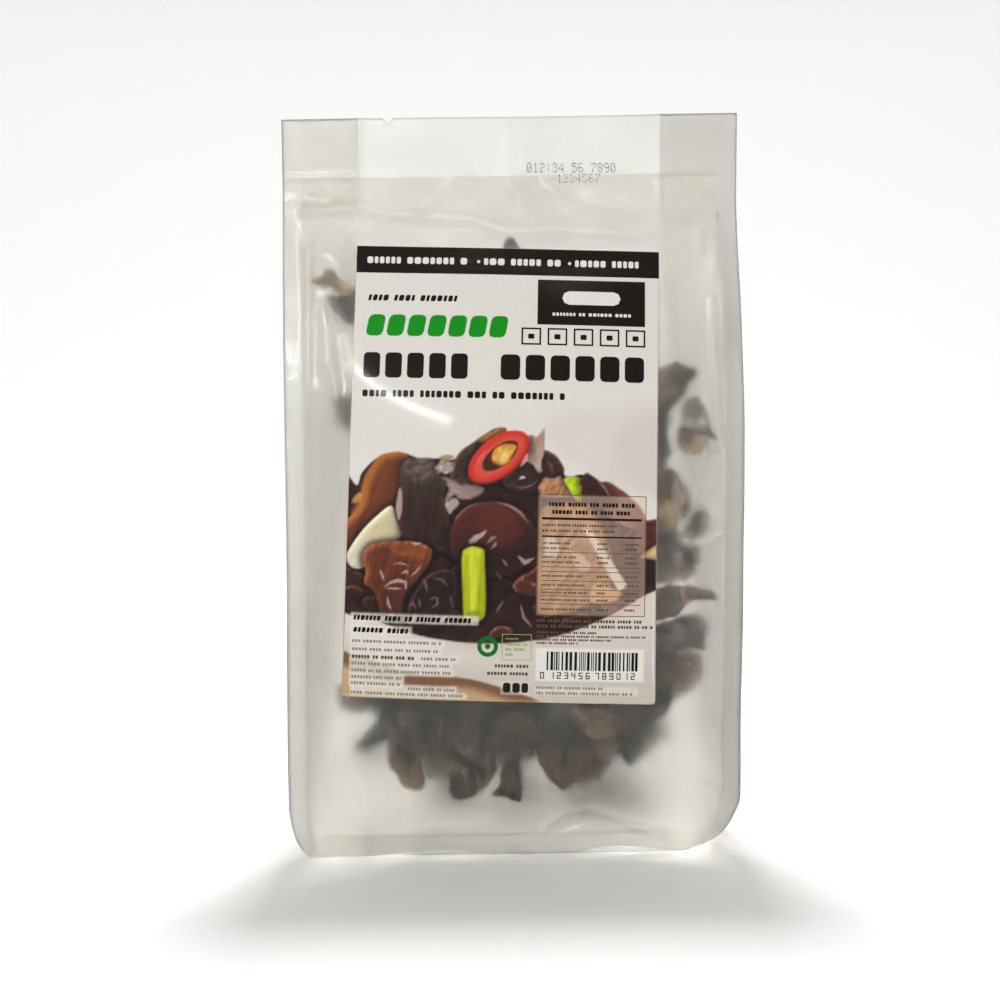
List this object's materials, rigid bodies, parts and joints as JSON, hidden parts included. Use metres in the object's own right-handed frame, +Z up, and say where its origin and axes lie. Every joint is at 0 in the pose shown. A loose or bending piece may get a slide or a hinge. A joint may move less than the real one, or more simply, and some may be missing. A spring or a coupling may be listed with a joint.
{
  "type": "packet of dried wood ear mushroom",
  "caption": "Frosted side-gusseted flat-bottomed food packet that stands upright, with a front label and loose dried wood ear mushrooms sealed inside.",
  "frame": {"origin": "middle of the packet's base, on the surface it stands on", "axes": "+Z up along the packet's height, +X to the right as seen from the front, -Y out of the front face with the label"},
  "size_m": [0.1513, 0.0526, 0.2405],
  "materials": {
    "frosted_film": "frosted, milky, softly wrinkled laminate film",
    "label_paper": "printed paper with a gloss laminate",
    "dried_ear": "dried fungus, dark waxy upper side and tan felted underside"
  },
  "bodies": {
    "root": {"front_panel": "frosted_film", "back_panel": "frosted_film", "left_gusset": "frosted_film", "right_gusset": "frosted_film", "base_panel": "frosted_film", "label": "label_paper", "wood_ear_01": "dried_ear", "wood_ear_02": "dried_ear", "wood_ear_03": "dried_ear", "wood_ear_04": "dried_ear", "wood_ear_05": "dried_ear", "wood_ear_06": "dried_ear", "wood_ear_07": "dried_ear", "wood_ear_08": "dried_ear", "wood_ear_09": "dried_ear", "wood_ear_10": "dried_ear", "wood_ear_11": "dried_ear", "wood_ear_12": "dried_ear", "wood_ear_13": "dried_ear", "wood_ear_14": "dried_ear", "wood_ear_15": "dried_ear", "wood_ear_16": "dried_ear", "wood_ear_17": "dried_ear", "wood_ear_18": "dried_ear", "wood_ear_19": "dried_ear", "wood_ear_20": "dried_ear", "wood_ear_21": "dried_ear", "wood_ear_22": "dried_ear", "wood_ear_23": "dried_ear", "wood_ear_24": "dried_ear", "wood_ear_25": "dried_ear", "wood_ear_26": "dried_ear", "wood_ear_27": "dried_ear", "wood_ear_28": "dried_ear", "wood_ear_29": "dried_ear", "wood_ear_30": "dried_ear", "wood_ear_31": "dried_ear", "wood_ear_32": "dried_ear", "wood_ear_33": "dried_ear", "wood_ear_34": "dried_ear", "wood_ear_35": "dried_ear", "wood_ear_36": "dried_ear", "wood_ear_37": "dried_ear", "wood_ear_38": "dried_ear", "wood_ear_39": "dried_ear", "wood_ear_40": "dried_ear", "wood_ear_41": "dried_ear", "wood_ear_42": "dried_ear", "wood_ear_43": "dried_ear", "wood_ear_44": "dried_ear", "wood_ear_45": "dried_ear", "wood_ear_46": "dried_ear", "wood_ear_47": "dried_ear", "wood_ear_48": "dried_ear", "wood_ear_49": "dried_ear", "wood_ear_50": "dried_ear"}
  },
  "joints": []
}
